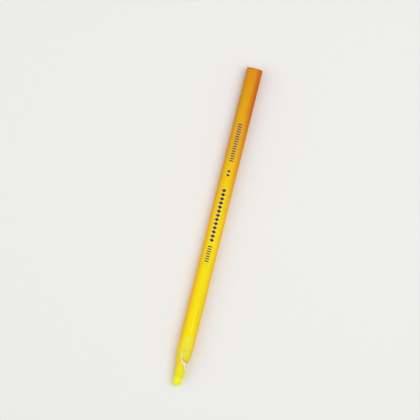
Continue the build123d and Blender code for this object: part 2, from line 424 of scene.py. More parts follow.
def coloured_wax(tree, place, finishes):
    """Extruded wax and pigment: light soaks in under a dull shine, streaked, with painted shade on the sides
    and painted light towards the tip.
    """
    axes = add(tree, "ShaderNodeSeparateXYZ", [place]).node.outputs
    smear = add(tree, "ShaderNodeTexNoise", {"Vector": place, "Scale": per_mm(1.6), "Detail": 5.0})
    reach = add(tree, "ShaderNodeMath", [smear, 1.6 * MM, axes["X"]], operation="MULTIPLY_ADD")
    along = add(tree, "ShaderNodeMapRange", {
        "Value": reach, "From Min": REAR + TEAR_LINE - 2 * MM, "From Max": REAR + LENGTH + 0.8 * MM})
    tone = add(tree, "ShaderNodeValToRGB", [along])
    stops = tone.node.color_ramp.elements
    for stop, position, shade in zip(stops, (0.3, 0.34), (finishes.wax_mouth, finishes.wax)):
        stop.position = position
        stop.color = (*shade, 1)
    # Painted shade: the sides are deeper, the -Y one further up
    level = add(tree, "ShaderNodeMath", [axes["Y"], 0.35, axes["Z"]], operation="MULTIPLY_ADD")
    low = add(tree, "ShaderNodeMapRange", {
        "Value": level, "From Min": AXIS_HEIGHT + 0.9 * CORE_RADIUS, "From Max": AXIS_HEIGHT, "To Max": 0.65},
        interpolation_type="SMOOTHSTEP")
    shaded = add(tree, "ShaderNodeMix", [low, tone, finishes.side_shade_front], data_type="RGBA")
    # Painted light: the wax is drawn brighter towards the tip
    tip = add(tree, "ShaderNodeMapRange", {"Value": along, "From Min": 0.66, "From Max": 0.74, "To Max": 0.9})
    tip_lit = add(tree, "ShaderNodeMix", [tip, shaded, finishes.lit_tip_wax], data_type="RGBA")
    drawn = add(tree, "ShaderNodeMapping", {
        "Vector": place, "Scale": (per_mm(5), per_mm(0.35), per_mm(0.35))})
    streak = add(tree, "ShaderNodeTexNoise", {"Vector": drawn, "Scale": 1.0, "Detail": 4.0})
    bloom = add(tree, "ShaderNodeMapRange", {
        "Value": streak, "From Min": 0.3, "From Max": 0.75, "To Min": 1.05, "To Max": 0.9})
    tint = add(tree, "ShaderNodeHueSaturation", {"Color": tip_lit, "Value": bloom})
    relief = add(tree, "ShaderNodeMath", [streak, smear])
    bump = add(tree, "ShaderNodeBump", {"Height": relief, "Strength": 0.4, "Distance": 0.05 * MM})
    dull = add(tree, "ShaderNodeMapRange", {"Value": smear, "To Min": 0.3, "To Max": 0.55})
    return {"Base Color": tint, "Roughness": dull, "Normal": bump, "IOR": 1.44, "Specular IOR Level": 0.25,
            "Subsurface Weight": 0.25, "Subsurface Radius": (1.0, 0.8, 0.2), "Subsurface Scale": 0.5 * MM}


def spun_cotton(tree, place, finishes):
    """Undyed spun cotton: matte and soft, yarn slanting round each strand, yellow where wax is rubbed in."""
    unrolled = add(tree, "ShaderNodeTexCoord", output="UV")
    sides = add(tree, "ShaderNodeSeparateXYZ", [unrolled]).node.outputs
    # Five yarns show round a strand, and along it one follows another every 0.9 mm
    lead = add(tree, "ShaderNodeMath", [sides["X"], per_mm(0.9)], operation="MULTIPLY")
    turns = add(tree, "ShaderNodeMath", [sides["Y"], 5.0, lead], operation="MULTIPLY_ADD")
    phase = add(tree, "ShaderNodeMath", [turns, 2 * pi], operation="MULTIPLY")
    yarn = add(tree, "ShaderNodeMath", [phase], operation="SINE")
    fluff = add(tree, "ShaderNodeTexNoise", {"Vector": place, "Scale": per_mm(0.4), "Detail": 5.0})
    patchy = add(tree, "ShaderNodeMapRange", {
        "Value": fluff, "From Min": 0.3, "From Max": 0.7, "To Min": 0.6})
    waxed = add(tree, "ShaderNodeAttribute", output="Fac", attribute_name="waxed")
    share = add(tree, "ShaderNodeMath", [patchy, waxed], operation="MULTIPLY")
    tint = add(tree, "ShaderNodeMix", [share, finishes.cotton, finishes.waxed_cotton], data_type="RGBA")
    # Painted shade and light: the hollows between the yarns are drawn darker and their crests lighter
    hollow_shade = add(tree, "ShaderNodeMapRange", {"Value": yarn, "From Min": -1.0, "To Min": 0.92, "To Max": 1.1})
    shade = add(tree, "ShaderNodeHueSaturation", {"Color": tint, "Value": hollow_shade})
    relief = add(tree, "ShaderNodeMath", [yarn, fluff])
    bump = add(tree, "ShaderNodeBump", {"Height": relief, "Strength": 0.6, "Distance": 0.03 * MM})
    return {"Base Color": shade, "Roughness": 0.9, "Normal": bump, "Specular IOR Level": 0.2,
            "Sheen Weight": 0.25}


def stamped_ink(tree, place, finishes):
    """Stamped printing ink: dark blue-violet, thin in specks where the paper took less of it."""
    speck = add(tree, "ShaderNodeTexNoise", {"Vector": place, "Scale": per_mm(0.35), "Detail": 4.0})
    thin = add(tree, "ShaderNodeMapRange", {"Value": speck, "From Min": 0.5, "From Max": 0.8, "To Max": 0.7})
    tint = add(tree, "ShaderNodeMix", [thin, finishes.ink, finishes.thin_ink], data_type="RGBA")
    gloss = add(tree, "ShaderNodeMapRange", {"Value": speck, "To Min": 0.35, "To Max": 0.6})
    return {"Base Color": tint, "Roughness": gloss, "Specular IOR Level": 0.3}


def matt_board(tree, place, finishes):
    """Plain matt board under the marker, with a faint tooth, faded out where it meets the backdrop."""
    # The board's tooth is drawn coarser than it is, so that it shows
    tooth = add(tree, "ShaderNodeTexNoise", {"Vector": place, "Scale": per_mm(1.5), "Detail": 3.0})
    bump = add(tree, "ShaderNodeBump", {"Height": tooth, "Strength": 0.05, "Distance": 0.05 * MM})
    away = add(tree, "ShaderNodeVectorMath", [place], operation="LENGTH")
    faded = add(tree, "ShaderNodeMapRange", {
        "Value": away, "From Min": 1.2 * LENGTH, "From Max": 3.4 * LENGTH}, interpolation_type="SMOOTHSTEP")
    clear = add(tree, "ShaderNodeBsdfTransparent")
    board = add(tree, "ShaderNodeMixShader", [faded, tree.nodes["Principled BSDF"].outputs["BSDF"], clear])
    feed(tree, tree.nodes["Material Output"], {"Surface": board})
    return {"Base Color": finishes.floor, "Roughness": 0.9, "Normal": bump}


def runs_along(points):
    """Distances of points from the first of them, along the line through them."""
    runs = [0.0]
    for before, after in zip(points, points[1:]):
        runs.append(runs[-1] + (after - before).length)
    return runs


def loft(rings):
    """Closed shell over rings of points: its points, faces and texture corners."""
    count = len(rings[0])
    points = [point for ring in rings for point in ring]
    runs = runs_along([ring[0] for ring in rings])
    faces = [tuple(reversed(range(count)))]
    corners = [[(runs[0], side / count) for side in reversed(range(count))]]
    for row in range(len(rings) - 1):
        start, end = row * count, (row + 1) * count
        near, far = runs[row], runs[row + 1]
        for side in range(count):
            following = (side + 1) % count
            faces.append((start + side, start + following, end + following, end + side))
            left, right = side / count, (side + 1) / count
            corners.append([(near, left), (near, right), (far, right), (far, left)])
    last = (len(rings) - 1) * count
    faces.append(tuple(range(last, last + count)))
    corners.append([(runs[-1], side / count) for side in range(count)])
    return points, faces, corners


def slab(outer, inner):
    """Closed shell between two grids of points: its points and faces, those of the outer grid first."""
    rows, columns = len(outer), len(outer[0])
    points = [point for row in [*outer, *inner] for point in row]
    under = rows * columns

    def at(row, column):
        return row * columns + column

    squares = [(row, column) for row in range(rows - 1) for column in range(columns - 1)]
    faces = [(at(r, c), at(r, c + 1), at(r + 1, c + 1), at(r + 1, c)) for r, c in squares]
    faces += [tuple(under + index for index in reversed(face)) for face in faces]
    rim = [at(0, c) for c in range(columns)]
    rim += [at(r, columns - 1) for r in range(1, rows)]
    rim += [at(rows - 1, c) for c in reversed(range(columns - 1))]
    rim += [at(r, 0) for r in reversed(range(1, rows - 1))]
    faces += [(b, a, under + a, under + b) for a, b in zip(rim, [*rim[1:], rim[0]])]
    return points, faces


def placed(name, data):
    """Object of some data, put in the scene."""
    piece = bpy.data.objects.new(name, data)
    bpy.context.scene.collection.objects.link(piece)
    return piece


# Bends between two faces that shade as an edge, on solids and on wound paper
SHARP_BEND = radians(40)
FOLD_BEND = radians(30)


def solid(name, shells, materials, skins=None, traits=None):
    """Object of closed shells, with a material number for each face and traits of its points."""
    points, faces, corners = [], [], []
    for shell_points, shell_faces, *shell_corners in shells:
        start = len(points)
        points += shell_points
        faces += [tuple(start + index for index in face) for face in shell_faces]
        corners += shell_corners[0] if shell_corners else []
    mesh = bpy.data.meshes.new(name)
    mesh.from_pydata(points, [], faces)
    for material in materials:
        mesh.materials.append(material)
    if skins:
        mesh.polygons.foreach_set("material_index", skins)
    if corners:
        layer = mesh.uv_layers.new(name="UVMap")
        layer.data.foreach_set("uv", [share for face in corners for corner in face for share in corner])
    for trait, shares in (traits or {}).items():
        mesh.attributes.new(trait, "FLOAT", "POINT").data.foreach_set("value", shares)
    shape = bmesh.new()
    shape.from_mesh(mesh)
    bmesh.ops.recalc_face_normals(shape, faces=shape.faces)
    for face in shape.faces:
        face.smooth = True
    for edge in shape.edges:
        edge.smooth = edge.calc_face_angle(pi) < SHARP_BEND
    shape.to_mesh(mesh)
    shape.free()
    return placed(name, mesh)


def settle(piece, body, nodes=()):
    """Set a finished piece on its body, in place of its nodes."""
    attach(piece, body)
    if nodes:
        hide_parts(*nodes)


def new_tree(name, sockets):
    """Geometry tree with named inputs: the tree and its inputs."""
    tree = bpy.data.node_groups.new(name, "GeometryNodeTree")
    tree.interface.new_socket("Geometry", in_out="OUTPUT", socket_type="NodeSocketGeometry")
    for socket, kind in sockets.items():
        tree.interface.new_socket(socket, in_out="INPUT", socket_type="NodeSocket" + kind)
    return tree, add(tree, "NodeGroupInput").node.outputs


def grown(name, tree, values, base=None):
    """Plain mesh object that a geometry tree makes from these values and, where given, a base mesh."""
    piece = placed(name, base or bpy.data.meshes.new(name))
    modifier = piece.modifiers.new(tree.name, "NODES")
    modifier.node_group = tree
    for item in tree.interface.items_tree:
        if item.in_out == "INPUT" and item.name in values:
            modifier[item.identifier] = values[item.name]
    graph = bpy.context.evaluated_depsgraph_get()
    mesh = bpy.data.meshes.new_from_object(piece.evaluated_get(graph))
    mesh.name = name
    # A mesh that starts from nothing has an empty material slot
    if None in mesh.materials[:]:
        mesh.materials.pop(index=mesh.materials[:].index(None))
    piece.modifiers.remove(modifier)
    piece.data = mesh
    return piece


LAST_TURN = 1.18                # depth from the outside, in plies, that counts as the last turn
LEANS_IN = -0.2                 # lean inwards, as a share, past which its faces aren't lacquered


def wound_band_tree():
    """Ribbon of paper wound in a spiral about X and lifted over the string."""
    tree, given = new_tree("Wound paper band", {
        "Start": "Float", "Width": "Float", "Bore": "Float", "Outside": "Float", "Turns": "Float",
        "Ply": "Float", "Lap": "Float", "String": "Float", "Tent Rise": "Float", "Tent Reach": "Float",
        "Score": "Float", "Trim": "Float", "Last Trim": "Float", "Segments": "Int", "Ply Paper": "Material",
        "Outside Paper": "Material"})
    half = add(tree, "ShaderNodeMath", [given["Ply"], 0.5], operation="MULTIPLY")
    first = add(tree, "ShaderNodeMath", [given["Bore"], half])
    last = add(tree, "ShaderNodeMath", [given["Outside"], half], operation="SUBTRACT")
    spiral = add(tree, "GeometryNodeCurveSpiral", {
        "Resolution": given["Segments"], "Rotations": given["Turns"], "Start Radius": first,
        "End Radius": last, "Height": 0.0})
    upright = add(tree, "GeometryNodeSetCurveNormal", [spiral], mode="Z_UP")
    oblong = add(tree, "GeometryNodeCurvePrimitiveQuadrilateral", {
        "Width": given["Ply"], "Height": given["Width"]})
    ribbon = add(tree, "GeometryNodeFilletCurve", {
        "Curve": oblong, "Count": 1, "Radius": given["Score"], "Limit Radius": True}, mode="POLY")
    wound = add(tree, "GeometryNodeCurveToMesh", {
        "Curve": upright, "Profile Curve": ribbon, "Fill Caps": True})
    lap = add(tree, "ShaderNodeMath", [pi, given["Lap"]], operation="SUBTRACT")
    turn = add(tree, "ShaderNodeCombineXYZ", {"Z": lap})
    turned = add(tree, "GeometryNodeTransform", {"Geometry": wound, "Rotation": turn})
    laid = add(tree, "GeometryNodeTransform", {"Geometry": turned, "Rotation": (0, pi / 2, 0)})
    # The string lifts the turns over it, the innermost most and the last not at all
    place = add(tree, "GeometryNodeInputPosition")
    axes = add(tree, "ShaderNodeSeparateXYZ", [place]).node.outputs
    flat = add(tree, "ShaderNodeCombineXYZ", {"Y": axes["Y"], "Z": axes["Z"]})
    radius = add(tree, "ShaderNodeVectorMath", [flat], operation="LENGTH")
    around = add(tree, "ShaderNodeMath", [axes["Y"], axes["Z"]], operation="ARCTAN2")
    away = add(tree, "ShaderNodeMath", [around, given["String"]], operation="SUBTRACT")
    gap = add(tree, "ShaderNodeMath", [away], operation="ABSOLUTE")
    tent = add(tree, "ShaderNodeMapRange", {
        "Value": gap, "From Min": given["Tent Reach"], "From Max": 0.0, "To Max": given["Tent Rise"]},
        interpolation_type="SMOOTHSTEP")
    skin = add(tree, "ShaderNodeMath", [given["Ply"], -LAST_TURN, given["Outside"]], operation="MULTIPLY_ADD")
    rise = add(tree, "ShaderNodeMapRange", {
        "Value": radius, "From Min": given["Bore"], "From Max": skin, "To Min": tent, "To Max": 0.0})
    lifted = add(tree, "ShaderNodeMath", [rise, radius])
    spread = add(tree, "ShaderNodeMath", [lifted, radius], operation="DIVIDE")
    # The last turn is cut truer, so that it all but meets the next band's
    rough = add(tree, "ShaderNodeTexNoise", {"Vector": flat, "Scale": per_mm(0.5), "Detail": 1.0})
    cut = add(tree, "ShaderNodeMath", [rough, given["Trim"]], operation="MULTIPLY")
    is_last = add(tree, "FunctionNodeCompare", [radius, skin], operation="GREATER_THAN")
    truer = add(tree, "GeometryNodeSwitch", {
        "Switch": is_last, "False": 1.0, "True": given["Last Trim"]}, input_type="FLOAT")
    uneven = add(tree, "ShaderNodeMath", [cut, truer], operation="MULTIPLY")
    short = add(tree, "ShaderNodeMath", [1.0, uneven], operation="SUBTRACT")
    scale = add(tree, "ShaderNodeCombineXYZ", [short, spread, spread])
    moved = add(tree, "ShaderNodeVectorMath", [place, scale], operation="MULTIPLY")
    tented = add(tree, "GeometryNodeSetPosition", {"Geometry": laid, "Position": moved})
    # Lacquer covers the outside of the last turn and its cut edges
    normal = add(tree, "GeometryNodeInputNormal")
    outward = add(tree, "ShaderNodeVectorMath", [normal, flat], operation="DOT_PRODUCT")
    least = LEANS_IN * BARREL_RADIUS
    faces_out = add(tree, "FunctionNodeCompare", [outward, least], operation="GREATER_THAN")
    lacquered = add(tree, "FunctionNodeBooleanMath", [faces_out, is_last], operation="AND")
    inside = add(tree, "GeometryNodeSetMaterial", {"Geometry": tented, "Material": given["Ply Paper"]})
    outside = add(tree, "GeometryNodeSetMaterial", [inside, lacquered, given["Outside Paper"]])
    fold = add(tree, "GeometryNodeInputMeshEdgeAngle")
    sharp = add(tree, "FunctionNodeCompare", [fold, FOLD_BEND], operation="GREATER_THAN")
    smooth = add(tree, "GeometryNodeSetShadeSmooth", {"Geometry": outside, "Shade Smooth": True})
    crisp = add(tree, "GeometryNodeSetShadeSmooth", [smooth, sharp, False], domain="EDGE")
    centre = add(tree, "ShaderNodeMath", [given["Width"], 0.5, given["Start"]], operation="MULTIPLY_ADD")
    middle = add(tree, "ShaderNodeCombineXYZ", {"X": centre, "Z": AXIS_HEIGHT})
    seated = add(tree, "GeometryNodeTransform", {"Geometry": crisp, "Translation": middle})
    whole = add(tree, "GeometryNodeRealizeInstances", [seated])
    add(tree, "NodeGroupOutput", [whole])
    return tree


class MARKER_OT_bands(bpy.types.Operator):
    """Wind the whole paper bands"""

    bl_idname = "china_marker.bands"
    bl_label = "Wind paper bands"

    def execute(self, context):
        paper = context.scene.marker_paper
        tree = wound_band_tree()
        for number, node in enumerate(BAND_NODES, 1):
            slot = "bare_paper" if node == BAND_NODES[-1] else "lacquered_paper"
            piece = grown(f"wound_band_{number:02d}", tree, {
                "Start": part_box(node)[0].x, "Width": BAND_WIDTH, "Bore": paper.bore(),
                "Outside": BARREL_RADIUS, "Turns": float(paper.plies - 1),
                "Ply": paper.pitch() - paper.ply_air, "Lap": paper.lap_angle, "String": STRING_ANGLE,
                "Tent Rise": paper.tent_rise, "Tent Reach": paper.tent_reach, "Score": paper.score,
                "Trim": paper.trim, "Last Trim": paper.last_trim, "Segments": paper.segments,
                "Ply Paper": finish(raw_paper),
                "Outside Paper": finish(rubbed_lacquer_and_sheen if slot == "bare_paper" else amber_lacquer)})
            settle(piece, "barrel", [node])
        return {"FINISHED"}


def loose_fibre_tree():
    """Short tapered fibres that stand up from a base mesh where its fray attribute is high."""
    tree, given = new_tree("Loose fibres", {
        "Base": "Geometry", "Density": "Float", "Length": "Float", "Thickness": "Float", "Lean": "Vector",
        "Stain": "Float", "Seed": "Int", "Fibre": "Material"})
    fray = add(tree, "GeometryNodeInputNamedAttribute", ["fray"], data_type="FLOAT")
    density = add(tree, "ShaderNodeMath", [fray, given["Density"]], operation="MULTIPLY")
    roots = add(tree, "GeometryNodeDistributePointsOnFaces", {
        "Mesh": given["Base"], "Density": density, "Seed": given["Seed"]}).node.outputs
    # A fibre is one unit long and bends over twice, and is drawn thicker than a real one so that it shows
    arc = add(tree, "GeometryNodeCurveQuadraticBezier", {
        "Resolution": 4, "Start": (0, 0, 0), "Middle": (0.25, 0, 0.6), "End": (0, 0.35, 1.0)})
    along = add(tree, "GeometryNodeSplineParameter")
    taper = add(tree, "ShaderNodeMapRange", {"Value": along, "To Min": 1.0, "To Max": 0.3})
    thin = add(tree, "GeometryNodeSetCurveRadius", {"Curve": arc, "Radius": taper})
    slim = add(tree, "ShaderNodeMath", [given["Thickness"], given["Length"]], operation="DIVIDE")
    section = add(tree, "GeometryNodeCurvePrimitiveCircle", {"Resolution": 4, "Radius": slim})
    fibre = add(tree, "GeometryNodeCurveToMesh", {
        "Curve": thin, "Profile Curve": section, "Fill Caps": True})
    scatter = add(tree, "FunctionNodeRandomValue", {
        "Min": (-1, -1, -1), "Max": (1, 1, 1), "Seed": given["Seed"]}, data_type="FLOAT_VECTOR")
    lean = add(tree, "ShaderNodeVectorMath", [roots["Normal"], given["Lean"]])
    way = add(tree, "ShaderNodeVectorMath", [lean, scatter])
    turned = add(tree, "FunctionNodeAlignRotationToVector", {"Vector": way}, axis="Z")
    # Lengths differ, from 0.4 to 1.1 of what is asked for
    size = add(tree, "FunctionNodeRandomValue", {
        "Min": 0.4, "Max": 1.1, "Seed": given["Seed"]}, data_type="FLOAT")
    long = add(tree, "ShaderNodeMath", [size, given["Length"]], operation="MULTIPLY")
    planted = add(tree, "GeometryNodeInstanceOnPoints", {
        "Points": roots["Points"], "Instance": fibre, "Rotation": turned, "Scale": long})
    real = add(tree, "GeometryNodeRealizeInstances", [planted])
    stained = add(tree, "GeometryNodeStoreNamedAttribute", {
        "Geometry": real, "Name": "stain", "Value": given["Stain"]}, data_type="FLOAT")
    done = add(tree, "GeometryNodeSetMaterial", {"Geometry": stained, "Material": given["Fibre"]})
    add(tree, "NodeGroupOutput", [done])
    return tree


# Rows of a torn ply from the band's start to its edge, closer together near the tear
TEAR_ROWS = (0.0, 0.2, 0.4, 0.58, 0.72, 0.82, 0.9, 0.95, 0.98, 1.0)

# Where along its length a torn ply thins out, frays and is painted in shade
FEATHERED = (0.93, 1.0)
FRAYED = (0.9, 1.0)
SHADED_ROWS = (0.62, 0.95)

NEAR_EDGE = TEAR_LINE - BAND_WIDTH / 3      # where plies are measured round the barrel, close to their edges
FEATHER = 0.3                   # share of a ply's thickness that a torn edge loses on each side
FRONT_AIR = 0.08                # air under each of the front band's plies, as a share of a ply
WAVES = 6                       # how fine the torn edges' waves are round the barrel
PLY_SHIFT = 3.7                 # how far the waves shift from ply to ply
SLIT_OPENS = 1 * MM             # length over which the slit grows to its full width
SLIT_SHADOW = 0.8               # how dark the painted shadow beside the slit is
SLIT_SHADOW_TURN = radians(7)   # turn of that painted shadow from the string, and its reach each way
SLIT_SHADOW_REACH = radians(5)
PULL_REACH = radians(14)        # how far round from the slit its sides are pulled up
PULLED_FROM = 0.6 * MM          # where along the slit they start to rise, and where they are right up
PULLED_TO = 3 * MM
CURL_TURN = radians(20)         # turn at which the flap's curl is full
FLAP_RAGGED = 0.6               # share of the band's raggedness that the flap's edge has
STEP_FADE = (-0.8 * MM, 0.4 * MM)           # where the flap's steps fade, counted from its point towards +Y
STEP_LEFT = 0.2                 # share of them that is left


def wall_radius(paper, distance, level):
    """Radius in the front band's wall, from level 0 on the bore to 1 outside, drawn in towards its mouth."""
    share = (distance - FRONT_START) / BAND_WIDTH
    return paper.bore() + mix(BARREL_RADIUS - paper.bore(), paper.mouth_wall, share) * level


def torn_ply(paper, number, sides, edge, lift, columns, start):
    """One ply of the front band between two side lines: its shell, and its points' fraying and painted shade.
    """
    low = (number + FRONT_AIR) / paper.plies
    high = (number + 1) / paper.plies
    rim = wall_radius(paper, NEAR_EDGE, high)
    outer, inner, fray, darkening = [], [], [], []
    for row in TEAR_ROWS:
        outer.append([])
        inner.append([])
        for column in range(columns + 1):
            share = column / columns
            turn = mix(*[side(rim, number, NEAR_EDGE) for side in sides], share)
            distance = mix(start, edge(rim * sin(turn), turn, number), row)
            top, base = wall_radius(paper, distance, high), wall_radius(paper, distance, low)
            feather = FEATHER * (top - base) * ease(*FEATHERED, row)
            raised = lift(distance, turn)
            turn = mix(*[side(top, number, distance) for side in sides], share)
            outer[-1].append(spot(distance, top - feather + raised, turn))
            inner[-1].append(spot(distance, base + feather + raised, turn))
            fray.append(ease(*FRAYED, row))
            # Painted shadow on the flap's paper beside the slit
            beside_slit = ease(SLIT_SHADOW_REACH, 0, abs(turn - STRING_ANGLE - SLIT_SHADOW_TURN))
            darkening.append(max(ease(*SHADED_ROWS, row), SLIT_SHADOW * beside_slit))
    return slab(outer, inner), fray * 2, darkening * 2


def front_paper(name, paper, numbers, sides, edge, lift, columns, start, stain, edge_darkening):
    """Some plies of the front band between two side lines as one piece, with lacquer outside the last."""
    shells, skins, fray, darkening = [], [], [], []
    for number in numbers:
        shell, frayed, darker_tone = torn_ply(paper, number, sides, edge, lift, columns, start)
        shells.append(shell)
        fray += frayed
        darkening += [edge_darkening * share for share in darker_tone]
        dyed = (len(TEAR_ROWS) - 1) * columns if number == paper.plies - 1 else 0
        skins += [0] * dyed + [1] * (len(shell[1]) - dyed)
    traits = {"fray": fray, "darkening": darkening, "stain": [stain] * len(fray)}
    return solid(name, shells, [finish(rubbed_lacquer_and_sheen), finish(raw_paper)], skins, traits)


class MARKER_OT_front_band(bpy.types.Operator):
    """Tear the front band and its flap"""

    bl_idname = "china_marker.front_band"
    bl_label = "Tear front band"

    def execute(self, context):
        paper = context.scene.marker_paper
        tear = context.scene.marker_tear
        last = paper.plies - 1

        # Side lines: turns at a radius, on a ply and at a distance from the rear end
        def slit(radius, distance, aside):
            opened = mix(tear.slit_start, 1, ease(FRONT_START, FRONT_START + SLIT_OPENS, distance))
            return asin((STRING_ROOT.y + aside * opened) / radius)

        def slit_left(radius, number, distance):
            return 2 * pi + slit(radius, distance, -tear.slit_left)

        def slit_right(radius, number, distance):
            return slit(radius, distance, tear.slit_right)

        def from_crease(number):
            return tear.fold_half if number == last else tear.split / BARREL_RADIUS

        def crease_band(radius, number, distance):
            return CREASE_ANGLE + from_crease(number)

        def crease_flap(radius, number, distance):
            return CREASE_ANGLE - from_crease(number)

        # Torn edges: distances from the rear end at a distance aside, at a turn and on a ply
        def ragged(turn, number):
            return tear.ragged * grain(WAVES * sin(turn), WAVES * cos(turn), PLY_SHIFT * number)

        def band_edge(aside, turn, number):
            stepped = tear.band_step * (last - number)
            return TEAR_LINE - tear.setback + aside * tan(tear.slant) + stepped + ragged(turn, number)

        def flap_edge(aside, turn, number):
            past = aside - tear.point_offset
            stepped = tear.flap_step * (last - number) * mix(1, STEP_LEFT, ease(*STEP_FADE, past))
            torn = min(past * tan(tear.inner_slant), past * tan(tear.outer_slant))
            return TEAR_LINE - tear.point_setback + torn + stepped + FLAP_RAGGED * ragged(turn, number)

        def fold_edge(aside, turn, number):
            share = ease(CREASE_ANGLE - tear.fold_half, CREASE_ANGLE + tear.fold_half, turn)
            return mix(flap_edge(aside, turn, number), band_edge(aside, turn, number), share)

        # Lifts: how far paper stands up at a distance from the rear end and a turn
        def pulled_up(distance, turn, slit_turn):
            near = ease(PULL_REACH, 0, abs(turn - slit_turn))
            return tear.pulled * near * ease(FRONT_START + PULLED_FROM, FRONT_START + PULLED_TO, distance)

        def band_lift(distance, turn):
            return pulled_up(distance, turn, slit_left(BARREL_RADIUS, 0, distance))

        def flap_lift(distance, turn):
            free = ease(CREASE_ANGLE - tear.fold_half, CURL_TURN, turn)
            curled = tear.curl * free * ease(TEAR_LINE - tear.setback, TEAR_LINE, distance)
            return curled + pulled_up(distance, turn, slit_right(BARREL_RADIUS, 0, distance))

        def fold_lift(distance, turn):
            return 0.0

        flap_start = FRONT_START + tear.split
        plies = range(paper.plies)
        band = front_paper(
            "slit_band_plies", paper, plies, (crease_band, slit_left), band_edge, band_lift,
            columns=150, start=FRONT_START, stain=1.0, edge_darkening=0.1)
        flap = front_paper(
            "flap_plies", paper, plies, (slit_right, crease_flap), flap_edge, flap_lift,
            columns=48, start=flap_start, stain=0.1, edge_darkening=0.9)
        fold = front_paper(
            "crease_fold", paper, [last], (crease_flap, crease_band), fold_edge, fold_lift,
            columns=16, start=flap_start, stain=0.1, edge_darkening=0.5)
        fibres = loose_fibre_tree()
        for name, base, body, stain, seed in (
                ("slit_band_fibres", band, "barrel", 0.8, 3), ("flap_fibres", flap, "flap", 0.1, 8)):
            piece = grown(name, fibres, {
                "Density": tear.fibres, "Length": tear.fibre_length, "Thickness": tear.fibre_radius,
                "Lean": (1.2, 0, 0), "Stain": stain, "Seed": seed, "Fibre": finish(raw_paper)}, base.data)
            settle(piece, body)
        settle(band, "barrel", ["slit_band"])
        settle(flap, "flap", ["peel_flap"])
        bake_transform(fold)
        return {"FINISHED"}


# The string's free end: distance past its root, degrees round the core, height over its seat on the core.
# Two of its three strands follow the first route and one, which has come unlaid, follows the second.
STRANDS = 3
TAIL_ROUTE = [
    (-0.4 * MM, -12.0, 0.0 * MM),
    (2.4 * MM, -12.0, 0.25 * MM),
    (5.3 * MM, -12.0, 0.05 * MM),
    (7.1 * MM, 14.0, 0.1 * MM),
    (9.1 * MM, 38.0, 0.1 * MM),
    (10.8 * MM, 51.0, -0.05 * MM),
]
UNLAID_ROUTE = TAIL_ROUTE[:3] + [
    (6.4 * MM, 10.0, 0.1 * MM),
    (7.5 * MM, 48.0, 0.1 * MM),
    (8.6 * MM, 73.0, 0.05 * MM),
    (10.0 * MM, 77.0, 0.1 * MM),
]

# The stretch under the paper starts just inside the rear end and stops short of the free end's round start
HIDDEN_START = 0.02 * MM
HIDDEN_STOP = 0.43 * MM

START_GIRTH = 0.1               # square of the share of its girth that the round start keeps
LOOSENING = (0.5 * MM, 2 * MM)  # where along the free end its strands loosen
UNLAYING = 1.2 * MM             # reach of the fork each way
FLUFFING = 2.5 * MM             # length past the fork over which a strand fluffs up
END_TAPER = 1.2 * MM            # length over which a strand thins to its end
END_GIRTH = 0.4                 # share of its girth that it keeps there
FRAY_FROM = 0.85                # share of its length from which it frays most
FRAY_LEAST = 0.15               # how frayed it is before that
WAX_FADE = (0.35, 0.65)         # shares of its length between which the wax on it fades
WAX_LEAST = 0.2                 # how waxed it is after that

YARN_RINGS = 10                 # rings back from a strand's end at which its yarns spread
YARN_STEPS = 8                  # points along a yarn
YARN_LIFT = 0.5                 # how far the core holds the yarns off
YARN_SPLAY = 0.45               # how far they spread, as a share of their length
YARN_SHORTEST = 0.5             # length of the shortest, as a share of the longest
YARN_TIP = 0.35                 # share of its radius that a yarn keeps at its tip


def smooth_line(route):
    """Points along the NURBS line whose control points are a route past the string's root."""
    curve = bpy.data.curves.new("string_line", "CURVE")
    curve.dimensions = "3D"
    curve.resolution_u = 24
    spline = curve.splines.new("NURBS")
    spline.points.add(len(route) - 1)
    for control, (past, turn, lift) in zip(spline.points, route):
        control.co = (*spot(STRING_START + past, STRING_SEAT + lift, radians(turn)), 1)
    spline.order_u = 3
    spline.use_endpoint_u = True
    holder = placed("string_line", curve)
    mesh = bpy.data.meshes.new_from_object(holder.evaluated_get(bpy.context.evaluated_depsgraph_get()))
    line = [vertex.co.copy() for vertex in mesh.vertices]
    bpy.data.objects.remove(holder)
    bpy.data.curves.remove(curve)
    bpy.data.meshes.remove(mesh)
    return line


def evenly(line, step):
    """Points at equal steps along a line, with their distances from its start."""
    runs = runs_along(line)
    count = ceil(runs[-1] / step)
    points, place = [], 0
    for index in range(count + 1):
        wanted = runs[-1] * index / count
        while place < len(line) - 2 and runs[place + 1] < wanted:
            place += 1
        share = (wanted - runs[place]) / (runs[place + 1] - runs[place])
        points.append((line[place].lerp(line[place + 1], share), wanted))
    return points


def strand(line, offset, radius, sides, step):
    """Rings of a strand round a line. Offset and radius are functions of the distance along it."""
    points = evenly(line, step)
    corners = [2 * pi * side / sides for side in range(sides)]
    rings, normal = [], Vector((0, 0, 1))
    for index, (point, run) in enumerate(points):
        ahead = points[min(index + 1, len(points) - 1)][0] - points[max(index - 1, 0)][0]
        normal = (normal - ahead * normal.dot(ahead) / ahead.length_squared).normalized()
        across = ahead.normalized().cross(normal)
        aside, turn = offset(run)
        middle = point + aside * (cos(turn) * normal + sin(turn) * across)
        girth = radius(run)
        rings.append([middle + girth * (cos(corner) * normal + sin(corner) * across) for corner in corners])
    return rings


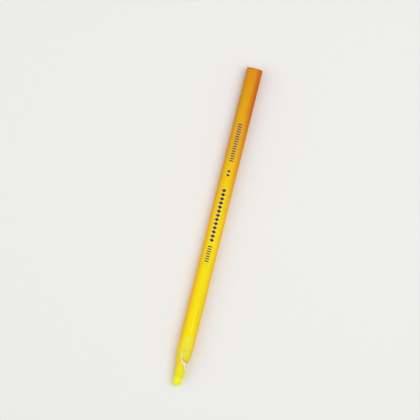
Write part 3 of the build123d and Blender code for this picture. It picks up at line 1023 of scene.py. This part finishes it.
def frayed_end(rings, cord, draw):
    """Yarns that spread out of a strand's last rings, as lofted shells."""
    back, tip = [sum(ring, Vector()) / len(ring) for ring in (rings[-YARN_RINGS], rings[-1])]
    way = (tip - back).normalized()
    off_core = Vector((0, tip.y, tip.z - AXIS_HEIGHT)).normalized()
    shares = [step / YARN_STEPS for step in range(YARN_STEPS + 1)]
    yarns = []
    for yarn in range(cord.yarns):
        splay = Vector([draw.uniform(-1, 1) for axis in range(3)]) + YARN_LIFT * off_core
        end = tip + cord.frayed * draw.uniform(YARN_SHORTEST, 1) * (way + YARN_SPLAY * splay)
        line = [back.lerp(tip, share).lerp(tip.lerp(end, share), share) for share in shares]
        whole = runs_along(line)[-1]
        yarns.append(loft(strand(
            line, lambda run: (0, 0), lambda run: cord.yarn_radius * mix(1, YARN_TIP, run / whole),
            sides=5, step=0.12 * MM)))
    return yarns


def strand_sizes(cord):
    """Radius of a strand, and of its path round the string's middle, where three touch one another."""
    radius = cord.diameter / 2 / (1 + 2 / 3 ** 0.5)
    return radius, cord.diameter / 2 - radius


def free_strand(cord, number, draw):
    """One strand of the free end and its yarns: their shells, and how frayed and waxed their points are."""
    unlaid = number == STRANDS - 1
    line = smooth_line(UNLAID_ROUTE if unlaid else TAIL_ROUTE)
    end = runs_along(line)[-1]
    phase = 2 * pi * number / STRANDS
    laid_radius, laid_aside = strand_sizes(cord)

    def girth(run):
        rounded = max(1 - (1 - min(run / (cord.diameter / 2), 1)) ** 2, START_GIRTH) ** 0.5
        return rounded * mix(1, cord.loosened, ease(*LOOSENING, run))

    def offset(run):
        free = ease(cord.fork - UNLAYING, cord.fork + UNLAYING, run)
        reach = mix(laid_aside, 0 if unlaid else laid_radius, free)
        # The two strands that stay together come to lie side by side
        moved_over = pi / 3 * free if number == 1 else 0
        return girth(run) * reach, phase + 2 * pi * run / cord.lay + moved_over

    def radius(run):
        fluff = cord.unlaid_fluff if unlaid else cord.fluff
        fluffed = mix(1, fluff / cord.loosened, ease(cord.fork, cord.fork + FLUFFING, run))
        return laid_radius * girth(run) * fluffed * mix(1, END_GIRTH, ease(end - END_TAPER, end, run))

    rings = strand(line, offset, radius, sides=10, step=0.09 * MM)
    yarns = frayed_end(rings, cord, draw)
    shares = [row / len(rings) for row in range(len(rings)) for side in rings[row]]
    fray = [mix(FRAY_LEAST, 1, ease(FRAY_FROM, 1, share)) for share in shares]
    waxed = [mix(1, WAX_LEAST, ease(*WAX_FADE, share)) for share in shares]
    yarn_points = sum(len(shell[0]) for shell in yarns)
    return [loft(rings), *yarns], fray + [1.0] * yarn_points, waxed + [WAX_LEAST] * yarn_points


class MARKER_OT_string(bpy.types.Operator):
    """Lay the cotton string and its free end"""

    bl_idname = "china_marker.string"
    bl_label = "Lay string"

    def execute(self, context):
        cord = context.scene.marker_string
        radius, aside = strand_sizes(cord)
        ends = (HIDDEN_START, STRING_START - HIDDEN_STOP)
        hidden = [spot(end, STRING_SEAT, STRING_ANGLE) for end in ends]
        laid = []
        for number in range(STRANDS):
            phase = 2 * pi * number / STRANDS
            laid.append(loft(strand(
                hidden, lambda run: (aside, phase + 2 * pi * run / cord.lay), lambda run: radius,
                sides=6, step=0.2 * MM)))
        under = solid("string_under_paper", laid, [finish(spun_cotton)])
        settle(under, "barrel", ["pull_string"])

        draw = Random(4)
        tail, fray, waxed = [], [], []
        for number in range(STRANDS):
            shells, strand_fray, strand_waxed = free_strand(cord, number, draw)
            tail += shells
            fray += strand_fray
            waxed += strand_waxed
        traits = {"fray": fray, "waxed": waxed}
        free_end = solid("string_free_end", tail, [finish(spun_cotton)], traits=traits)
        fuzz = grown("string_fuzz", loose_fibre_tree(), {
            "Density": cord.fuzz, "Length": cord.fuzz_length, "Thickness": cord.fuzz_radius,
            "Lean": (0.6, 0, 0), "Seed": 5, "Fibre": finish(spun_cotton)}, free_end.data)
        settle(free_end, "tail", ["string_tail"])
        settle(fuzz, "tail")
        return {"FINISHED"}


# Rings of the wax stick: on its rear face as shares of its radius, along its tapered end, and at the very tip
REAR_SHARES = (0.03, 0.2, 0.36, 0.52, 0.68, 0.82, 0.93)
WAX_STEP = 0.2 * MM
TIP_BACKS = (0.1 * MM, 0.04 * MM, 0.01 * MM)
WAX_SIDES = 96
BEHIND_MOUTH = 1 * MM           # how far behind its taper the close rings start
REAR_RIM = 0.15 * MM            # from the rear face to the first ring on the side
SOFTENED = 0.35 * MM            # reach each way over which the taper's bends are rounded
NEAREST = 0.005 * MM            # nearest to the tip that this looks
RIDGES_ROUND = 9                # how fine the ridges are round the stick
RIDGES_ALONG = 6                # millimetres that a ridge runs along it
RIDGES_TIP = (0.4 * MM, 2 * MM)             # where the ridges fade towards the tip
RIDGES_REAR = 1 * MM            # and towards the rear end
FACES_FLAT = 0.01               # least that a side counts as facing the worn flat


def stick_radius(wax, back):
    """The wax stick's radius at a distance back from its tip."""
    if back < wax.crown:
        sphere = (wax.crown_radius**2 + wax.crown**2) / (2 * wax.crown)
        return max(sphere**2 - (sphere - back)**2, 0) ** 0.5
    bends = [(wax.crown, wax.crown_radius), (wax.nose, wax.nose_radius),
             (wax.shoulder, CORE_RADIUS - wax.shoulder_drop), (wax.mouth, CORE_RADIUS), (LENGTH, CORE_RADIUS)]
    for (near, near_radius), (far, far_radius) in zip(bends, bends[1:]):
        if back <= far:
            return mix(near_radius, far_radius, (back - near) / (far - near))
    return CORE_RADIUS


class MARKER_OT_wax(bpy.types.Operator):
    """Draw the wax stick with its worn tip"""

    bl_idname = "china_marker.wax"
    bl_label = "Draw wax stick"

    def execute(self, context):
        wax = context.scene.marker_wax
        turns = [2 * pi * side / WAX_SIDES for side in range(WAX_SIDES)]
        rings = []
        for share in REAR_SHARES:
            face = [spot(0, share * CORE_RADIUS, turn) for turn in turns]
            # Knife marks are half a millimetre wide and five times as long
            marks = [0.5 + 0.5 * grain(place.y * per_mm(0.5), place.z * per_mm(2.5), 0) for place in face]
            rings.append([place + Vector((wax.cut_marks * mark, 0, 0)) for place, mark in zip(face, marks)])
        backs = [LENGTH, LENGTH - REAR_RIM]
        backs += [WAX_STEP * step for step in range(int((wax.mouth + BEHIND_MOUTH) / WAX_STEP), 0, -1)]
        backs += TIP_BACKS
        for back in backs:
            near = [stick_radius(wax, max(back + shift, NEAREST)) for shift in (-SOFTENED, 0, SOFTENED)]
            drawn = sum(near) / len(near) if back > wax.crown else near[1]
            ridged = ease(*RIDGES_TIP, back) * ease(LENGTH, LENGTH - RIDGES_REAR, back)
            flat = wax.flat_end + back * tan(wax.flat_slope)
            ring = []
            for turn in turns:
                wave = grain(RIDGES_ROUND * sin(turn), RIDGES_ROUND * cos(turn), back * per_mm(RIDGES_ALONG))
                towards_flat = max(cos(turn - wax.flat_turn), FACES_FLAT)
                radius = min(drawn + wax.ridges * wave * ridged, flat / towards_flat)
                ring.append(spot(LENGTH - back, radius, turn))
            rings.append(ring)
        piece = solid("wax_stick", [loft(rings)], [finish(coloured_wax)])
        settle(piece, "barrel", ["wax_core"])
        return {"FINISHED"}


def printed_row_tree():
    """Row of like ink marks along X, wrapped onto the barrel."""
    tree, given = new_tree("Printed row", {
        "Start": "Float", "Pitch": "Float", "Count": "Int", "Mark": "Vector", "Turned": "Float",
        "Radius": "Float", "Around": "Float", "Ink": "Material"})
    first = add(tree, "ShaderNodeCombineXYZ", [given["Start"]])
    step = add(tree, "ShaderNodeCombineXYZ", [given["Pitch"]])
    line = add(tree, "GeometryNodeMeshLine", {
        "Count": given["Count"], "Start Location": first, "Offset": step})
    block = add(tree, "GeometryNodeMeshCube", {
        "Size": (1.0, 1.0, 1.0), "Vertices X": 5, "Vertices Y": 5, "Vertices Z": 2})
    turn = add(tree, "ShaderNodeCombineXYZ", {"Z": given["Turned"]})
    turned = add(tree, "GeometryNodeTransform", {"Geometry": block, "Rotation": turn})
    mark = add(tree, "GeometryNodeTransform", {"Geometry": turned, "Scale": given["Mark"]})
    row = add(tree, "GeometryNodeInstanceOnPoints", {"Points": line, "Instance": mark})
    real = add(tree, "GeometryNodeRealizeInstances", [row])
    place = add(tree, "GeometryNodeInputPosition")
    axes = add(tree, "ShaderNodeSeparateXYZ", [place]).node.outputs
    bend = add(tree, "ShaderNodeMath", [axes["Y"], given["Radius"]], operation="DIVIDE")
    around = add(tree, "ShaderNodeMath", [bend, given["Around"]])
    radius = add(tree, "ShaderNodeMath", [axes["Z"], given["Radius"]])
    aside = add(tree, "ShaderNodeMath", [around], operation="SINE")
    upward = add(tree, "ShaderNodeMath", [around], operation="COSINE")
    new_y = add(tree, "ShaderNodeMath", [aside, radius], operation="MULTIPLY")
    new_z = add(tree, "ShaderNodeMath", [upward, radius, AXIS_HEIGHT], operation="MULTIPLY_ADD")
    wrapped = add(tree, "ShaderNodeCombineXYZ", [axes["X"], new_y, new_z])
    printed = add(tree, "GeometryNodeSetPosition", {"Geometry": real, "Position": wrapped})
    inked = add(tree, "GeometryNodeSetMaterial", {"Geometry": printed, "Material": given["Ink"]})
    add(tree, "NodeGroupOutput", [inked])
    return tree


# Rows of the print: name, distance of the first mark from the rear end, pitch, count, length and width of a
# mark, and degrees that a mark is turned by before it is sized
PRINTED_ROWS = [
    ("fine_bars_rear", 31.3 * MM, 1.35 * MM, 16, 0.62 * MM, 2.3 * MM, 0),
    ("pair_of_dots", 57.3 * MM, 2.2 * MM, 2, 1.1 * MM, 1.5 * MM, 45),
    ("lozenges", 68.0 * MM, 2.3 * MM, 13, 1.42 * MM, 1.95 * MM, 45),
    ("fine_bars_front", 99.2 * MM, 1.35 * MM, 7, 0.62 * MM, 2.3 * MM, 0),
]


class MARKER_OT_print(bpy.types.Operator):
    """Print the plain row along the barrel"""

    bl_idname = "china_marker.print"
    bl_label = "Print row"

    def execute(self, context):
        paper = context.scene.marker_paper
        print_sizes = context.scene.marker_print
        # The last turn rises by its pitch on the way round to its lap
        surface = BARREL_RADIUS - paper.pitch() * (paper.lap_angle - print_sizes.turn) / (2 * pi)
        tree = printed_row_tree()
        for name, start, step, count, long, wide, degrees in PRINTED_ROWS:
            piece = grown("print_" + name, tree, {
                "Start": REAR + start, "Pitch": step, "Count": count, "Mark": (long, wide, print_sizes.sunk),
                "Turned": radians(degrees), "Radius": surface + print_sizes.ink - print_sizes.sunk / 2,
                "Around": print_sizes.turn, "Ink": finish(stamped_ink)})
            settle(piece, "barrel")
        return {"FINISHED"}


FLOOR_HALF = 1.5                # half the floor's width
SKY_LIGHT = 0.51                # strength of the soft light from all round
BACKDROP = 0.82                 # brightness of the backdrop
LENS = 120                      # focal length in millimetres
CAMERA_PLACE = (-8.47 * MM, -5.18 * MM, AXIS_HEIGHT + 760 * MM)
CAMERA_TURN = radians(90 + 13.98)

# Lamps: name, place, side of their square and power in watts
LAMPS = [
    ("key", (-0.1, 0.3, 0.82), 0.7, 3.55),
    ("fill", (0.1, -0.55, 0.65), 0.8, 1.8),
]


class MARKER_OT_stage(bpy.types.Operator):
    """Set the floor, the light and the camera"""

    bl_idname = "china_marker.stage"
    bl_label = "Set stage"

    def execute(self, context):
        scene = context.scene
        floor_mesh = bpy.data.meshes.new("floor")
        shape = bmesh.new()
        bmesh.ops.create_grid(shape, x_segments=2, y_segments=2, size=FLOOR_HALF)
        shape.to_mesh(floor_mesh)
        shape.free()
        floor_mesh.materials.append(finish(matt_board))
        placed("floor", floor_mesh)

        # The camera and reflections see a backdrop as pale as the floor, and the rest of the light is softer
        scene.world = bpy.data.worlds.new("soft_sky")
        scene.world.use_nodes = True
        tree = scene.world.node_tree
        rays = add(tree, "ShaderNodeLightPath").node.outputs
        mirrored = add(tree, "ShaderNodeMath", [
            rays["Is Glossy Ray"], rays["Is Transmission Ray"]], operation="MAXIMUM")
        seen = add(tree, "ShaderNodeMath", [rays["Is Camera Ray"], mirrored], operation="MAXIMUM")
        strength = add(tree, "ShaderNodeMapRange", {"Value": seen, "To Min": SKY_LIGHT, "To Max": BACKDROP})
        feed(tree, tree.nodes["Background"], {"Color": (1, 1, 1, 1), "Strength": strength})
        for name, place, side, power in LAMPS:
            lamp = bpy.data.lights.new(name, "AREA")
            lamp.size = side
            lamp.energy = power
            holder = placed(name, lamp)
            holder.location = place
            holder.rotation_euler = (-Vector(place)).to_track_quat("-Z", "Y").to_euler()

        lens = bpy.data.cameras.new("camera")
        lens.lens = LENS
        scene.camera = placed("camera", lens)
        scene.camera.location = CAMERA_PLACE
        scene.camera.rotation_euler = (0, 0, CAMERA_TURN)
        scene.view_settings.view_transform = "Standard"
        return {"FINISHED"}


GROUPS = {
    "marker_paper": PaperSizes,
    "marker_tear": TearSizes,
    "marker_string": StringSizes,
    "marker_wax": WaxSizes,
    "marker_print": PrintSizes,
    "marker_finishes": Finishes,
}
OPERATORS = (
    MARKER_OT_stage,
    MARKER_OT_string,
    MARKER_OT_wax,
    MARKER_OT_bands,
    MARKER_OT_front_band,
    MARKER_OT_print,
)


class MARKER_PT_panel(bpy.types.Panel):
    """Sizes, colours and steps of the marker"""

    bl_idname = "MARKER_PT_panel"
    bl_label = "China marker"
    bl_space_type = "VIEW_3D"
    bl_region_type = "UI"
    bl_category = "China marker"

    def draw(self, context):
        for group, kind in GROUPS.items():
            box = self.layout.box()
            box.label(text=kind.__doc__)
            for name in kind.__annotations__:
                box.prop(getattr(context.scene, group), name)
        for operator in OPERATORS:
            self.layout.operator(operator.bl_idname)


def register():
    """Register the classes and give the scene their sizes and colours."""
    for kind in [*GROUPS.values(), *OPERATORS, MARKER_PT_panel]:
        bpy.utils.register_class(kind)
    for group, kind in GROUPS.items():
        setattr(bpy.types.Scene, group, PointerProperty(type=kind))


def unregister():
    """Undo what register does."""
    for group in GROUPS:
        delattr(bpy.types.Scene, group)
    for kind in [MARKER_PT_panel, *OPERATORS, *GROUPS.values()]:
        bpy.utils.unregister_class(kind)


def main():
    """Build the marker."""
    register()
    bpy.ops.china_marker.stage()
    bpy.ops.china_marker.string()
    bpy.ops.china_marker.wax()
    bpy.ops.china_marker.bands()
    bpy.ops.china_marker.front_band()
    bpy.ops.china_marker.print()


if __name__ == "__main__":
    main()
